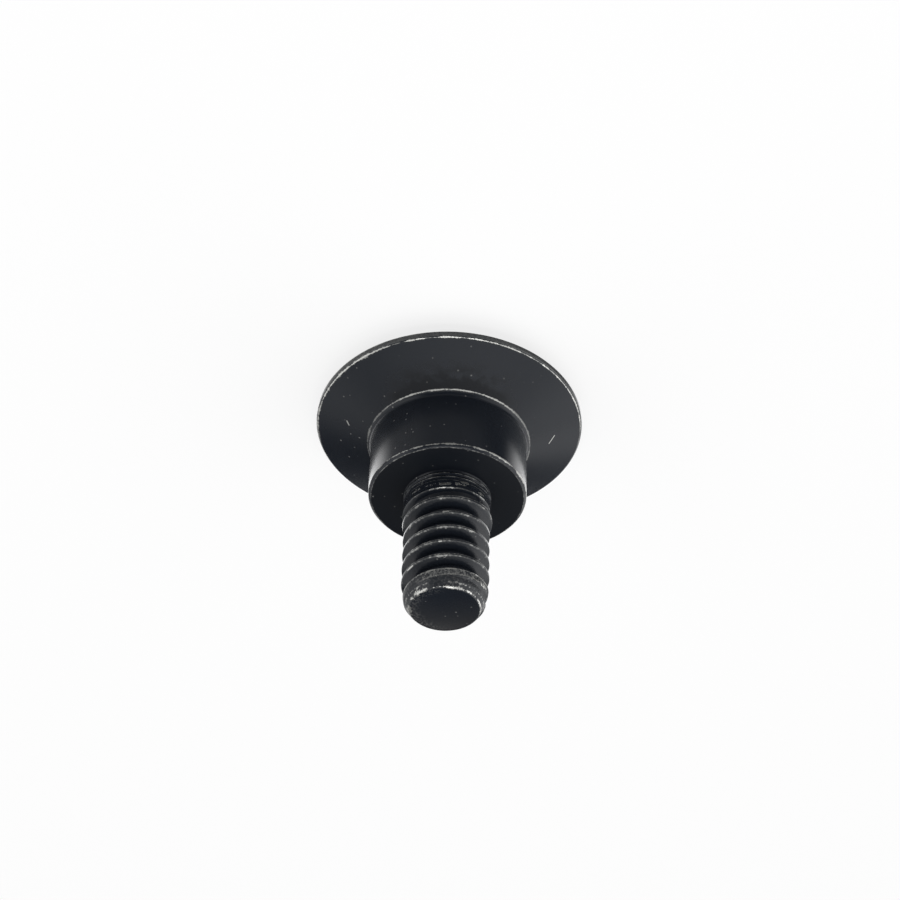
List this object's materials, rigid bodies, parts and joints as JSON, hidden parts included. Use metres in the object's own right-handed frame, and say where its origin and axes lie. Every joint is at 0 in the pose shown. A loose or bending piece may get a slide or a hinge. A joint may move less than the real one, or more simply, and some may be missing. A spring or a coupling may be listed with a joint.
{
  "type": "oval head shoulder screw",
  "caption": "Black steel shoulder screw with a wide thin oval head, a plain shoulder, a coarse right-hand thread and a hexagon socket.",
  "frame": {"origin": "on the screw's axis at the crown's flat, which the screw stands on", "axes": "+Z along the screw's axis, from the head to the tip of the thread"},
  "size_m": [0.0196, 0.0196, 0.0189],
  "materials": {
    "blackened_steel": "semi-gloss black coating on steel, worn to bare metal on edges and thread crests"
  },
  "bodies": {
    "root": {"oval_head_screw": "blackened_steel"}
  },
  "joints": []
}
